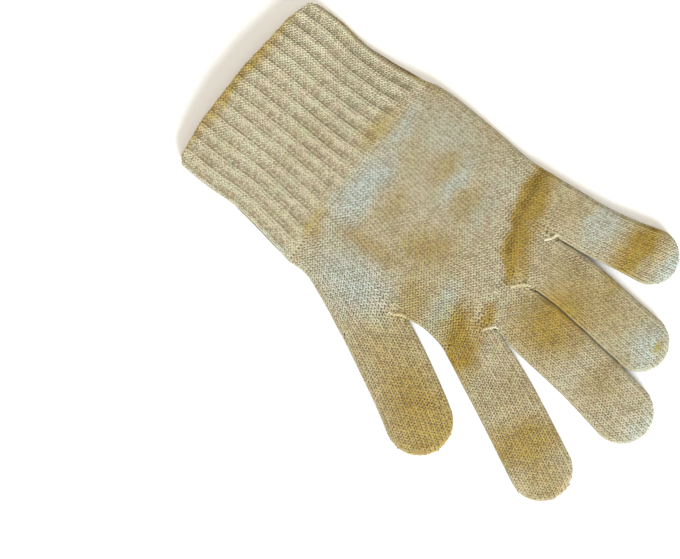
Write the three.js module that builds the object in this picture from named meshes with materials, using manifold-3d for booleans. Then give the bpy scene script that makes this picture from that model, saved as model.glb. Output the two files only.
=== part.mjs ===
// One knitted wool glove lying flat by itself, hollow from the hem to the fingertips.
// Millimetres. +Y runs from the cuff to the fingertips, +X towards the thumb, +Z up.
// The origin is under the middle of the hand, on the plane that the glove rests on.

import * as THREE from "three";
import Module from "manifold-3d";

const wasm = await Module();
wasm.setup();

// Fabric and gaps
const WALL = 2.0; // knitted wool with its loft
const SEAM_GAP = 0.3; // between one knitted piece and the next
const SLIT_GAP = 0.7; // between two fingers that lie side by side
const HALF_SEAM = SEAM_GAP / 2;

// Edge radius, where the fabric folds round from the top to the underside
const CUFF_EDGE = 4.4;
const HAND_EDGE = 4.2;
const THUMB_EDGE = 4.0;
const FINGER_EDGE = 3.9;

// Ribs of the cuff: across each face, round each edge, and how deep the grooves are
const FACE_RIBS = 13;
const EDGE_RIBS = 2;
const STEPS_A_RIB = 4;
const RIB_DEPTH = 0.9;

// How finely a section is drawn: across each face and round each edge
const HAND_STEPS = { face: 12, edge: 4 };
const DIGIT_STEPS = { face: 4, edge: 4 };
const LINING_STEPS = { face: 8, edge: 4 };
const RIB_STEPS = { face: FACE_RIBS * STEPS_A_RIB, edge: EDGE_RIBS * STEPS_A_RIB };

// How far the hollow runs on through an open end
const RUN_THROUGH = 8;

// Plan of the seams, seen from above
const HEM = [[-43.5, -99.5], [-30, -103], [0, -105.4], [30, -105.2], [51, -102.5]];
const WRIST = [[-46, -37], [55, -37]];
const LITTLE_SIDE = [-47.4, 28.1];
const RING_LITTLE_FORK = [-26.8, 51.0];
const MIDDLE_RING_FORK = [-2.6, 56.3];
const INDEX_MIDDLE_FORK = [22.0, 55.1];
const INDEX_SIDE = [43.8, 43.3];
const THUMB_CROTCH = [42.5, 20.2];
const THUMB_SIDE = [62.8, -5.8];
const MIDDLE_OF_HAND = [4, 10];
const KNUCKLES = [LITTLE_SIDE, RING_LITTLE_FORK, MIDDLE_RING_FORK, INDEX_MIDDLE_FORK, INDEX_SIDE];

// Cuff and hand: reach is 0 at a part's first seam and 1 at its last
const CUFF_ROWS = [
  { reach: 0.00, left: -43.2, right: 50.4, height: 11.6 },
  { reach: 0.03, left: -44.4, right: 51.6, height: 13.2 },
  { reach: 0.25, left: -44.0, right: 51.1, height: 13.5 },
  { reach: 0.50, left: -42.5, right: 50.2, height: 13.3 },
  { reach: 0.75, left: -43.4, right: 52.1, height: 12.9 },
  { reach: 1.00, left: -46.2, right: 55.0, height: 12.4 },
];
const HAND_ROWS = [
  { reach: 0.00, left: -46.2, right: 55.0, height: 12.4 },
  { reach: 0.07, left: -47.4, right: 54.4, height: 12.5 },
  { reach: 0.14, left: -48.3, right: 54.8, height: 12.6 },
  { reach: 0.27, left: -48.3, right: 58.8, height: 12.7 },
  { reach: 0.39, left: -47.9, right: 62.6, height: 12.6 },
  { reach: 0.50, left: -47.8, right: 55.8, height: 12.5 },
  { reach: 0.60, left: -47.4, right: 49.4, height: 12.3 },
  { reach: 0.71, left: -47.0, right: 42.5, height: 12.0 },
  { reach: 0.79, left: -46.7, right: 41.2, height: 11.6 },
  { reach: 0.87, left: -46.5, right: 41.5, height: 11.0 },
  { reach: 0.94, left: -46.8, right: 42.4, height: 10.4 },
  { reach: 1.00, left: -47.4, right: 43.8, height: 9.8 },
];

// Thumb and fingers: the first row lies inside the hand, the last is the centre of the round tip
const DIGITS = {
  thumb: [
    { x: 43.4, y: -12.8, half: 12.8, height: 9.0 },
    { x: 52.6, y: 7.2, half: 14.4, height: 10.8 },
    { x: 60.9, y: 25.3, half: 14.9, height: 10.6 },
    { x: 70.5, y: 44.4, half: 14.9, height: 10.4 },
    { x: 75.6, y: 53.1, half: 15.0, height: 10.2 },
  ],
  index_finger: [
    { x: 27.6, y: 36.2, half: 11.4, height: 8.6 },
    { x: 32.9, y: 49.2, half: 12.3, height: 9.8 },
    { x: 39.0, y: 64.5, half: 13.2, height: 10.2 },
    { x: 45.3, y: 79.7, half: 13.7, height: 10.2 },
    { x: 59.0, y: 109.2, half: 14.0, height: 9.9 },
  ],
  middle_finger: [
    { x: 9.2, y: 42.0, half: 11.6, height: 8.6 },
    { x: 9.7, y: 55.7, half: 12.2, height: 9.8 },
    { x: 10.9, y: 68.0, half: 13.2, height: 10.2 },
    { x: 13.2, y: 98.0, half: 13.6, height: 10.2 },
    { x: 16.4, y: 121.8, half: 14.1, height: 9.9 },
  ],
  ring_finger: [
    { x: -14.3, y: 40.0, half: 11.4, height: 8.6 },
    { x: -14.7, y: 53.7, half: 12.0, height: 9.8 },
    { x: -15.8, y: 68.0, half: 12.5, height: 10.1 },
    { x: -14.5, y: 90.0, half: 12.7, height: 10.1 },
    { x: -13.0, y: 108.8, half: 13.2, height: 9.8 },
  ],
  little_finger: [
    { x: -35.6, y: 26.0, half: 10.6, height: 8.4 },
    { x: -37.1, y: 39.5, half: 11.6, height: 9.4 },
    { x: -40.0, y: 61.0, half: 11.5, height: 9.8 },
    { x: -43.2, y: 76.0, half: 11.6, height: 9.8 },
    { x: -46.4, y: 89.3, half: 12.5, height: 9.5 },
  ],
};
const DIGIT_SPACING = 10; // between drawn sections of a finger
const HIDDEN_RISE = 0.6; // how far a digit's end inside the hand stands off the hand's underside
const TIP_ROWS = [0.4, 0.7, 0.88, 0.97]; // share of the tip's radius

// Dents and folds of the upper face: valleys sink, ridges have a negative depth
const FOLDS = [
  { name: "little finger crease", from: [-47.8, 24.9], to: [-30.0, 27.5], width: 5.0, depth: 1.2 },
  { name: "ring finger crease", from: [-27.0, 28.2], to: [-11.3, 32.5], width: 5.0, depth: 1.5 },
  { name: "crease into the fork", from: [-9.0, 34.0], to: [1.5, 45.0], width: 4.5, depth: 1.3 },
  { name: "ridge where the ribs end", from: [-30.0, -36.5], to: [24.0, -35.0], width: 5.5, depth: -0.8 },
  { name: "dent by the thumb", from: [29.0, -25.0], to: [26.0, -5.0], width: 6.0, depth: 1.2 },
  { name: "valley behind the index finger", from: [19.5, 29.0], to: [38.0, 44.0], width: 4.5, depth: 1.1 },
  { name: "ridge across the palm", from: [8.0, 15.0], to: [30.0, 32.0], width: 5.5, depth: -0.8 },
  { name: "hollow of the cuff", from: [-20.0, -72.0], to: [28.0, -70.0], width: 14.0, depth: 1.0 },
];
const FOLD_RISE = 3; // height over which a fold takes hold above the underside

// Wool
const WOOL_COLOR = 0xd2bf92;
const RIB_COLOR = 0xcdb88c;
const WOOL_ROUGHNESS = 0.95;

// A point's distance from the line between two points in plan
function distanceToLine(x, y, from, to) {
  const line = new THREE.Line3(new THREE.Vector3(...from, 0), new THREE.Vector3(...to, 0));
  const point = new THREE.Vector3(x, y, 0);
  return line.closestPointToPoint(point, true, new THREE.Vector3()).distanceTo(point);
}

// How far the upper face sinks at a place
function sinkAt(x, y) {
  let sink = 0;
  for (const fold of FOLDS) {
    const away = distanceToLine(x, y, fold.from, fold.to) / fold.width;
    sink += fold.depth * Math.exp(-away * away);
  }
  return sink;
}

// A point of a section with the folds worked in
function folded(x, y, z) {
  const hold = THREE.MathUtils.clamp((z - WALL) / FOLD_RISE, 0, 1);
  return new THREE.Vector3(x, y, z - hold * sinkAt(x, y));
}

// The height along a line of plan points at a share of its width
function alongPlan(points, share) {
  const x = THREE.MathUtils.lerp(points[0][0], points[points.length - 1][0], share);
  const after = points.findIndex((point, i) => i > 0 && x <= point[0]);
  const [x0, y0] = points[after < 0 ? points.length - 2 : after - 1];
  const [x1, y1] = points[after < 0 ? points.length - 1 : after];
  return y0 + ((y1 - y0) * (x - x0)) / (x1 - x0);
}

// Section of a flattened tube as [across, up] pairs, the underside first, then round by the right.
// thin is 1 along the tube and falls to 0 where a round tip closes.
function flatTube({ half, height, edge, inset, steps, groove, thin }) {
  const radius = Math.max(edge - inset, 0.2);
  const wide = Math.max(half - inset, 0.4);
  const flat = Math.max(wide - radius, 0);
  const side = wide - flat;
  const low = inset + radius * (1 - thin);
  const high = inset + radius * (1 + thin);
  const crown = Math.max(height - inset - (inset + 2 * radius), 0) * thin;
  const points = [];
  const put = (across, up, pushAcross, pushUp) => {
    const cut = groove(points.length);
    points.push([across - pushAcross * cut, up - pushUp * cut]);
  };
  for (let i = 0; i < steps.face; i += 1) {
    put(THREE.MathUtils.lerp(-flat, flat, i / steps.face), low, 0, -1);
  }
  for (let i = 0; i < steps.edge; i += 1) {
    const turn = -Math.PI / 2 + (Math.PI * i) / steps.edge;
    const up = inset + radius + radius * thin * Math.sin(turn);
    put(flat + side * Math.cos(turn), up, Math.cos(turn), Math.sin(turn));
  }
  for (let i = 0; i < steps.face; i += 1) {
    const share = 1 - (2 * i) / steps.face;
    put(flat * share, high + crown * (1 - share * share), 0, 1);
  }
  for (let i = 0; i < steps.edge; i += 1) {
    const turn = Math.PI / 2 + (Math.PI * i) / steps.edge;
    const up = inset + radius + radius * thin * Math.sin(turn);
    put(-flat + side * Math.cos(turn), up, Math.cos(turn), Math.sin(turn));
  }
  return points;
}

const smooth = () => 0;
const ribbed = (i) => RIB_DEPTH * (0.5 - 0.5 * Math.cos((2 * Math.PI * i) / STEPS_A_RIB));

// Upright strips across a loop, from the underside to the top
function endStrips(start, size, edge, index) {
  const leftMiddle = size - edge / 2;
  for (let i = 0; i < size / 2; i += 1) {
    const under = start + ((leftMiddle + i) % size);
    const nextUnder = start + ((leftMiddle + i + 1) % size);
    const over = start + ((leftMiddle - i) % size);
    const nextOver = start + ((leftMiddle - i - 1) % size);
    index.push(under, nextUnder, nextOver, under, nextOver, over);
  }
}

// A closed solid through a row of loops, ended by strips, or by a fan round the tip where it has one
function loft(loops, edge, tip) {
  const size = loops[0].length;
  const points = tip ? [...loops.flat(), tip] : loops.flat();
  const index = [];
  for (let row = 0; row + 1 < loops.length; row += 1) {
    for (let i = 0; i < size; i += 1) {
      const a = row * size + i;
      const b = row * size + ((i + 1) % size);
      index.push(a, a + size, b, b, a + size, b + size);
    }
  }
  endStrips(0, size, edge, index);
  const lastLoop = (loops.length - 1) * size;
  if (tip) {
    for (let i = 0; i < size; i += 1) {
      index.push(points.length - 1, lastLoop + ((i + 1) % size), lastLoop + i);
    }
  } else {
    const strips = [];
    endStrips(lastLoop, size, edge, strips);
    index.push(...strips.reverse());
  }
  return new wasm.Manifold(new wasm.Mesh({
    numProp: 3,
    vertProperties: new Float32Array(points.flatMap((point) => point.toArray())),
    triVerts: new Uint32Array(index),
  }));
}

// Cuff or hand: sections that turn from the line of one seam to the line of the next.
// A row's shift moves its section on along the glove.
function broadTube({ rows, from, to, edge, inset, steps, groove }) {
  const loops = rows.map((row) => {
    const half = (row.right - row.left) / 2;
    const middle = (row.right + row.left) / 2;
    const section = flatTube({ half, height: row.height, edge, inset, steps, groove, thin: 1 });
    return section.map(([across, up]) => {
      const share = THREE.MathUtils.clamp((across / half + 1) / 2, 0, 1);
      const along = THREE.MathUtils.lerp(alongPlan(from, share), alongPlan(to, share), row.reach);
      return folded(middle + across, along + (row.shift ?? 0), up);
    });
  });
  return loft(loops, steps.edge);
}

// A row's value at a length along a digit
function rowAt(rows, lengths, length, column) {
  const after = Math.max(lengths.findIndex((value) => value >= length - 1e-6), 1);
  const share = (length - lengths[after - 1]) / (lengths[after] - lengths[after - 1]);
  return THREE.MathUtils.lerp(rows[after - 1][column], rows[after][column], share);
}

// Thumb or finger: sections square to a smooth middle line, closed by a round tip
function digit({ rows, edge, inset }) {
  const line = new THREE.CatmullRomCurve3(rows.map((row) => new THREE.Vector3(row.x, row.y, 0)));
  const total = line.getLength();
  const count = Math.round(total / DIGIT_SPACING);
  const lengths = rows.map((row, i) => line.getLengths(200)[Math.round((200 * i) / (rows.length - 1))]);
  const loopAt = (length, beyond, widthShare, thin) => {
    const centre = line.getPointAt(Math.min(length / total, 1));
    const ahead = line.getTangentAt(Math.min(length / total, 1));
    centre.addScaledVector(ahead, beyond);
    const half = inset + (rowAt(rows, lengths, length, "half") - inset) * widthShare;
    const height = rowAt(rows, lengths, length, "height");
    const rise = HIDDEN_RISE * Math.max(1 - length / lengths[1], 0);
    const section = flatTube({ half, height, edge, inset, steps: DIGIT_STEPS, groove: smooth, thin });
    return section.map(([across, up]) => (
      folded(centre.x + ahead.y * across, centre.y - ahead.x * across, up + rise)
    ));
  };
  const loops = [];
  for (let i = 0; i <= count; i += 1) {
    loops.push(loopAt((total * i) / count, 0, 1, 1));
  }
  const tip = rows[rows.length - 1].half - inset;
  const bend = edge - inset;
  for (const share of TIP_ROWS) {
    const beyond = tip * share;
    const intoEdge = Math.max(beyond - (tip - bend), 0) / bend;
    loops.push(loopAt(total, beyond, Math.sqrt(1 - share * share), Math.sqrt(1 - intoEdge * intoEdge)));
  }
  const ahead = line.getTangentAt(1);
  const end = line.getPointAt(1).addScaledVector(ahead, tip);
  return loft(loops, DIGIT_STEPS.edge, new THREE.Vector3(end.x, end.y, edge));
}

// A thin upright slab along a line in plan, which parts one piece from the next
function slab(from, to, thickness, before, after) {
  const start = new THREE.Vector2(...from);
  const ahead = new THREE.Vector2(...to).sub(start);
  const length = ahead.length() + before + after;
  const box = new THREE.BoxGeometry(length, thickness, 60);
  box.deleteAttribute("normal");
  box.deleteAttribute("uv");
  box.translate(length / 2 - before, 0, 0);
  box.rotateZ(ahead.angle());
  box.translate(start.x, start.y, 0);
  return solidOf(box);
}

// A closed solid from a three.js geometry, its shared corners found by their place
function solidOf(geometry) {
  const found = new Map();
  const corners = [];
  const place = geometry.getAttribute("position");
  const shared = [];
  for (let i = 0; i < place.count; i += 1) {
    const corner = [place.getX(i), place.getY(i), place.getZ(i)];
    const key = corner.map((value) => value.toFixed(4)).join();
    if (!found.has(key)) {
      found.set(key, found.size);
      corners.push(...corner);
    }
    shared.push(found.get(key));
  }
  return new wasm.Manifold(new wasm.Mesh({
    numProp: 3,
    vertProperties: new Float32Array(corners),
    triVerts: new Uint32Array(Array.from(geometry.index.array, (i) => shared[i])),
  }));
}

// Seams part the digits from the hand, and slits part the fingers from each other
const seams = [
  slab(LITTLE_SIDE, RING_LITTLE_FORK, SEAM_GAP, 3, 0.3),
  slab(RING_LITTLE_FORK, MIDDLE_RING_FORK, SEAM_GAP, 0.3, 0.3),
  slab(MIDDLE_RING_FORK, INDEX_MIDDLE_FORK, SEAM_GAP, 0.3, 0.3),
  slab(INDEX_MIDDLE_FORK, INDEX_SIDE, SEAM_GAP, 0.3, 3),
  slab(THUMB_CROTCH, THUMB_SIDE, SEAM_GAP, 0.5, 4),
  slab(THUMB_CROTCH, [43.0, 24.5], SLIT_GAP, 0.2, 0),
  slab(RING_LITTLE_FORK, [-28.1, 61.5], SLIT_GAP, 0, 0),
  slab(MIDDLE_RING_FORK, [-2.8, 70.0], SLIT_GAP, 0, 0),
  slab(INDEX_MIDDLE_FORK, [24.8, 66.5], SLIT_GAP, 0, 0),
];

// The rows of a tube with its two end sections shifted
function shifted(rows, first, last) {
  return [
    { ...rows[0], shift: first },
    ...rows.slice(1, -1),
    { ...rows[rows.length - 1], shift: last },
  ];
}

function cuffSolid() {
  const shape = { from: HEM, to: WRIST, edge: CUFF_EDGE };
  const outside = broadTube({
    ...shape, rows: shifted(CUFF_ROWS, 0, -HALF_SEAM), inset: 0, steps: RIB_STEPS, groove: ribbed,
  });
  const mouth = { ...CUFF_ROWS[1], reach: 0, shift: -RUN_THROUGH };
  const beyond = { ...CUFF_ROWS[CUFF_ROWS.length - 1], shift: RUN_THROUGH };
  const hollow = broadTube({
    ...shape, rows: [mouth, ...CUFF_ROWS.slice(1), beyond],
    inset: WALL, steps: LINING_STEPS, groove: smooth,
  });
  return outside.subtract(hollow);
}

function handSolids() {
  const shape = { from: WRIST, to: KNUCKLES, edge: HAND_EDGE, steps: HAND_STEPS, groove: smooth };
  const outside = broadTube({ ...shape, rows: shifted(HAND_ROWS, HALF_SEAM, 0), inset: 0 });
  const mouth = { ...HAND_ROWS[0], shift: -RUN_THROUGH };
  const hollow = broadTube({ ...shape, rows: [mouth, ...shifted(HAND_ROWS, 0, -WALL)], inset: WALL });
  const digits = Object.entries(DIGITS).map(([name, rows]) => {
    const edge = name === "thumb" ? THUMB_EDGE : FINGER_EDGE;
    return { outside: digit({ rows, edge, inset: 0 }), hollow: digit({ rows, edge, inset: WALL }) };
  });
  const skin = wasm.Manifold.union([outside, ...digits.map((part) => part.outside)]);
  const space = wasm.Manifold.union([hollow, ...digits.map((part) => part.hollow)]);
  const parted = skin.subtract(space).subtract(wasm.Manifold.union(seams));
  return parted.decompose();
}

function meshOf(name, solid, color) {
  const { vertProperties, triVerts } = solid.getMesh();
  const geometry = new THREE.BufferGeometry();
  geometry.setAttribute("position", new THREE.BufferAttribute(vertProperties, 3));
  geometry.setIndex(new THREE.BufferAttribute(triVerts, 1));
  geometry.computeVertexNormals();
  const material = new THREE.MeshStandardMaterial({ color, roughness: WOOL_ROUGHNESS, metalness: 0 });
  const mesh = new THREE.Mesh(geometry, material);
  mesh.name = name;
  return mesh;
}

// The middle of each piece in plan, by which the parted bodies are told apart
function piecePlaces() {
  const places = { hand: new THREE.Vector2(...MIDDLE_OF_HAND) };
  for (const [name, rows] of Object.entries(DIGITS)) {
    const knuckle = rows[1];
    const tip = rows[rows.length - 1];
    places[name] = new THREE.Vector2((knuckle.x + tip.x) / 2, (knuckle.y + tip.y) / 2);
  }
  return places;
}

function nearestName(solid, places) {
  const { min, max } = solid.boundingBox();
  const middle = new THREE.Vector2((min[0] + max[0]) / 2, (min[1] + max[1]) / 2);
  const away = (name) => places[name].distanceTo(middle);
  return Object.keys(places).reduce((best, name) => (away(name) < away(best) ? name : best));
}

const group = new THREE.Group();
group.add(meshOf("cuff", cuffSolid(), RIB_COLOR));
const places = piecePlaces();
for (const solid of handSolids()) {
  group.add(meshOf(nearestName(solid, places), solid, WOOL_COLOR));
}

export default group;
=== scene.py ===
"""One knitted wool glove lying flat. Tables are in millimetres, the scene in metres.
+Y runs from the cuff to the fingertips, +X towards the thumb, +Z up to the camera."""
import math

import bpy
import numpy as np
from mathutils import Matrix, Vector
from mathutils.geometry import delaunay_2d_cdt
from mathutils.kdtree import KDTree


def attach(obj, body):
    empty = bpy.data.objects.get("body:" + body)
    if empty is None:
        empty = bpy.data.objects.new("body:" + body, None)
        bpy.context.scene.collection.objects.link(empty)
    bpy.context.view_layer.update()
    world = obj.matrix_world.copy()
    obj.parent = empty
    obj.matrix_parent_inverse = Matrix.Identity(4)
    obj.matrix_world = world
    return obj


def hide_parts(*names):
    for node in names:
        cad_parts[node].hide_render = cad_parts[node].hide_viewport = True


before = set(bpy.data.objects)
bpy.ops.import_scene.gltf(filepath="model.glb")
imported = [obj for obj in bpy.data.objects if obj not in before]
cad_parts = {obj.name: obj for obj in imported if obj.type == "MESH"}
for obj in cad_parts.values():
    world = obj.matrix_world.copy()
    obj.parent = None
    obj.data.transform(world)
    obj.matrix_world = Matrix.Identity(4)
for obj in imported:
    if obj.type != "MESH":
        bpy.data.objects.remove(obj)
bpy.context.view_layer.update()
MM = 0.001

# The outline in plan: x, y
HEM = [(-43.5, -99.5), (-30.0, -103.0), (0.0, -105.4), (30.0, -105.2), (51.0, -102.5)]
WRIST_Y, WRIST_LEFT, WRIST_RIGHT = -37.0, -46.2, 55.0
LITTLE_SIDE = (-47.4, 28.1)
RING_LITTLE_FORK = (-26.8, 51.0)
MIDDLE_RING_FORK = (-2.6, 56.3)
INDEX_MIDDLE_FORK = (22.0, 55.1)
INDEX_SIDE = (43.8, 43.3)
THUMB_CROTCH = (42.5, 20.2)
THUMB_SIDE = (62.8, -5.8)
HAND_LEFT = [
    (WRIST_LEFT, WRIST_Y), (-47.6, -32.0), (-48.3, -24.0), (-48.2, -12.0), (-47.8, 0.0), (-47.2, 10.0),
    (-46.8, 19.0), LITTLE_SIDE]
HAND_RIGHT = [(WRIST_RIGHT, WRIST_Y), (54.4, -31.4), (54.9, -25.5), (58.8, -15.3), THUMB_SIDE]
INDEX_RIGHT = [THUMB_CROTCH, (41.4, 27.0), (41.6, 33.0), (42.4, 38.5), INDEX_SIDE]
# The cuff's sides: share of the way from the hem to the wrist, left x, right x
CUFF_ROWS = [
    (0.0, -43.6, 50.8), (0.25, -44.0, 51.1), (0.5, -42.5, 50.2), (0.75, -43.4, 52.1),
    (1.0, WRIST_LEFT, WRIST_RIGHT)]
# The joins between the hand and the digits
KNUCKLES = [LITTLE_SIDE, RING_LITTLE_FORK, MIDDLE_RING_FORK, INDEX_MIDDLE_FORK, INDEX_SIDE]
JOINS = list(zip(KNUCKLES, KNUCKLES[1:])) + [(THUMB_CROTCH, THUMB_SIDE)]
# Digits: name, where the left and right sides start, (x, y, half width) down the middle line
DIGITS = [
    ("little_finger", LITTLE_SIDE, RING_LITTLE_FORK, [
        (-35.6, 26.0, 10.6), (-37.1, 39.5, 11.6), (-40.0, 61.0, 11.5), (-43.2, 76.0, 11.6),
        (-46.4, 89.3, 12.5)]),
    ("ring_finger", RING_LITTLE_FORK, MIDDLE_RING_FORK, [
        (-14.3, 40.0, 11.4), (-14.7, 53.7, 12.0), (-15.8, 68.0, 12.5), (-14.5, 90.0, 12.7),
        (-13.0, 108.8, 13.2)]),
    ("middle_finger", MIDDLE_RING_FORK, INDEX_MIDDLE_FORK, [
        (9.2, 42.0, 11.6), (9.7, 55.7, 12.2), (10.9, 68.0, 13.2), (13.2, 98.0, 13.6), (16.4, 121.8, 14.1)]),
    ("index_finger", INDEX_MIDDLE_FORK, INDEX_SIDE, [
        (27.6, 36.2, 11.4), (32.9, 49.2, 12.3), (39.0, 64.5, 13.2), (45.3, 79.7, 13.7), (59.0, 109.2, 14.0)]),
    ("thumb", THUMB_CROTCH, THUMB_SIDE, [
        (43.4, -12.8, 12.8), (52.6, 7.2, 14.4), (60.9, 25.3, 14.9), (70.5, 44.4, 14.9), (75.6, 53.1, 15.0)]),
]
PULL_RUN = 12.0  # length over which a digit's side eases from its start to its plain line
THUMB_LEAST_X, THUMB_SHARE = 40.0, 1.08  # how far left, and across how many half widths, the thumb can reach
OUTLINE_STEP = 1.3
# The slits between neighbouring digits. A slit of more than two points is closed all along.
SLITS = [
    [RING_LITTLE_FORK, (-28.1, 61.5)],
    [MIDDLE_RING_FORK, (-2.8, 70.0), (-1.5, 88.0), (-0.3, 101.0)],
    [INDEX_MIDDLE_FORK, (24.8, 66.5)],
]
SLIT_HALF = 0.38
# Lengths: from a slit's start to its full width, its fade past its end, and how far past that end it acts
SLIT_OPENS, SLIT_FADE, SLIT_END = 4.0, 10.0, 12.0
SLIT_NEAR, SLIT_TOUCH = 5.0, 1.0  # how near a side lies for a slit to act on it, and to close it up

# Folds of the upper face: from, to, width, depth
FOLDS = [
    ((-47.8, 24.9), (-30.0, 27.5), 5.0, 1.2),
    ((-27.0, 28.2), (-11.3, 32.5), 5.0, 1.5),
    ((-9.0, 34.0), (1.5, 45.0), 4.5, 1.3),
    ((-44.0, 26.0), (-22.0, 30.5), 2.4, 0.7),
    ((-20.0, 31.0), (-9.8, 35.4), 2.4, 0.9),
    ((-8.0, 36.5), (1.6, 45.0), 2.4, 0.8),
    ((-30.0, -36.5), (24.0, -35.0), 5.5, -0.8),
    ((29.0, -29.0), (26.5, -5.0), 5.5, 2.0),
    ((21.0, 35.0), (37.0, 40.0), 3.2, 1.6),
    ((20.0, 46.5), (22.5, 51.0), 2.6, 1.2),
    ((43.0, 14.0), (40.0, 6.0), 3.0, 1.2),
    ((8.0, 15.0), (30.0, 32.0), 5.5, -0.8),
    ((-20.0, -72.0), (28.0, -70.0), 14.0, 1.0),
]
# Slow waves left in the fabric: direction in degrees, wavelength, height
WAVES = [(12, 31, 0.22), (75, 23, 0.20), (131, 27, 0.18), (48, 17, 0.12), (160, 19, 0.10), (100, 41, 0.25)]
# How wide the fabric turns at the outline: y, radius. Then the same for the tubes that stitches are counted on.
EDGE_RADIUS = [(-100.0, 4.4), (-37.0, 4.3), (25.0, 4.1), (60.0, 3.9)]
CUFF_EDGE, HAND_EDGE, DIGIT_EDGE = 4.36, 4.2, 3.95
CROWN, CROWN_RUN = 4.5, 14.0  # how far the middle of the glove stands above its edges, and how fast it rises
CORNER = 4.0  # the hem's rounded corners
SKIN_DEPTH = 0.45  # the wall lies this far below the tops of the stitches
WALL = 1.5
PRESSED = 0.42  # the floor presses the stitches underneath this far into the wall

# The triangles of the wall: spacing of the grid and of the joins' points, and rows where the fabric turns
GRID_X, GRID_Y, JOIN_STEP = 2.2, 1.9, 1.6
TURN_ROWS = (24, 46, 68, 90)
WRIST_POINTS = 72
CUFF_ROWS_OF_WALL, RIB_POINTS = 47, 8

# The knitting
WALE, COURSE = 1.93, 1.5
SMALLEST_STITCH, LARGEST_STITCH = (1.9, 1.3), (2.6, 1.9)
CROWDED, BARE = 1.0, 1.15  # stitches nearer than the first are left out, and gaps over the second are filled
HAND_ROWS, LAST_HAND_ROW, LONGEST_DIGIT = 66, 62, 90
FINGER_WALES, HAND_WALES, THUMB_WALES = 15, 46, 13
CROTCH_WALES = 2  # wales of the hand's face that start at the crotch of the thumb
TIP_NARROWS, TIP_SPREAD = 0.97, 1.04
# How each digit takes up wales of the hand: the first of them, its own first one, how many, length of the bend
TAKEN = {
    "little_finger": (0, 0, 13, 15.0),
    "ring_finger": (13, 2, 11, 14.0),
    "middle_finger": (24, 2, 11, 14.0),
    "index_finger": (35, 2, 13, 15.0),
    "thumb": (HAND_WALES + CROTCH_WALES, 2, 13, 20.0),
}
# The line that parts the finger wales from the thumb wales: y, x
PARTING = [(-37.0, 32.4), (-20.0, 34.4), (0.0, 38.6), (20.2, 42.5), (60.0, 42.5)]
LEG_APART = 0.25  # from a stitch's middle to its legs, as a share of the stitch
HAND_STITCH = {"Leg lean": 0.33, "Leg length": 0.86}
DIGIT_STITCH = {"Leg lean": 0.25, "Leg length": 0.92}
RIB_STITCH = {"Leg lean": 0.36, "Leg length": 0.93, "Leg width": 0.27}
SUNK = -0.3  # how proud a stitch stands of the knitted surface
RIBS, RIB_DEPTH = 30, 1.25
CUFF_STITCHES = RIBS * 4
CUFF_COURSES, MOUTH_COURSES = 45, 9
# The yarn that closes each fork: name, the points that it passes, how many turns it takes
CLOSINGS = [
    ("thumb_closing", [(45.6, 12.0), (45.0, 14.4), (43.4, 16.6), (42.9, 18.6), (42.3, 20.8)], 9),
    ("index_closing", [(25.6, 49.8), (23.8, 51.5), (22.3, 52.8), (21.2, 54.0), (22.0, 55.6)], 8),
    ("middle_closing", [(2.9, 48.2), (0.5, 50.2), (-1.5, 52.2), (-2.4, 54.8), (-2.6, 57.2)], 9),
    ("ring_closing", [(-22.6, 47.0), (-24.2, 48.3), (-25.6, 49.4), (-27.4, 49.6), (-28.2, 50.9)], 8),
]
CLOSING_TURN = (1.8, 1.45)
STEEP_TURN, FLAT_TURN = 0.95, 0.35  # how the turns lean, by turns

BLOCK = 2000  # points measured at a time


# Lines in plan

def columns(table):
    """The columns of a table, as np.interp takes them."""
    return np.array(table, float).T


def smooth_step(t):
    t = np.clip(t, 0.0, 1.0)
    return t * t * (3 - 2 * t)


def unit(ways):
    return ways / np.maximum(np.linalg.norm(ways, axis=-1, keepdims=True), 1e-9)


def run_of(points):
    """Length along a line at each of its points."""
    return np.concatenate([[0.0], np.cumsum(np.linalg.norm(np.diff(points, axis=0), axis=1))])


def points_at(at, run, line):
    """What a line's columns hold at given lengths along it."""
    return np.stack([np.interp(at, run, line[:, k]) for k in range(line.shape[1])], -1)


def curve_through(points, spacing):
    """A smooth curve through the points, at an even spacing."""
    p = np.asarray(points, float)
    ends = np.vstack([2 * p[0] - p[1], p, 2 * p[-1] - p[-2]])
    t = np.linspace(0, 1, 24, endpoint=False)[:, None]
    parts = [
        0.5 * (2 * b + (c - a) * t + (2 * a - 5 * b + 4 * c - d) * t**2 + (3 * b - a - 3 * c + d) * t**3)
        for a, b, c, d in zip(ends, ends[1:], ends[2:], ends[3:])
    ]
    fine = np.vstack(parts + [p[-1:]])
    run = run_of(fine[:, :2])
    return points_at(np.linspace(0, run[-1], max(int(round(run[-1] / spacing)), 1) + 1), run, fine)


def off_slit(place, centre, slit):
    """Moves the points of a digit's side off the line of a slit, and up to the edge of a closed one."""
    x, y = place[..., 0], place[..., 1]
    start, end = slit[0, 1], slit[-1, 1]
    slit_x = np.interp(y, slit[:, 1], slit[:, 0])
    near = (y > start - 0.1) & (y < end + SLIT_END) & (np.abs(x - slit_x) < SLIT_NEAR)
    way = np.sign(centre[..., 0] - slit_x)
    away = (x - slit_x) * way
    room = SLIT_HALF * smooth_step((y - start) / SLIT_OPENS)
    closed = (len(slit) > 2) & (y < end) & (away < SLIT_TOUCH)
    hold = 1 - smooth_step((y - end) / SLIT_FADE)
    away = np.where(closed | (away < room), away + (room - away) * hold, away)
    return np.stack([np.where(near, slit_x + way * away, x), y], -1)


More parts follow.
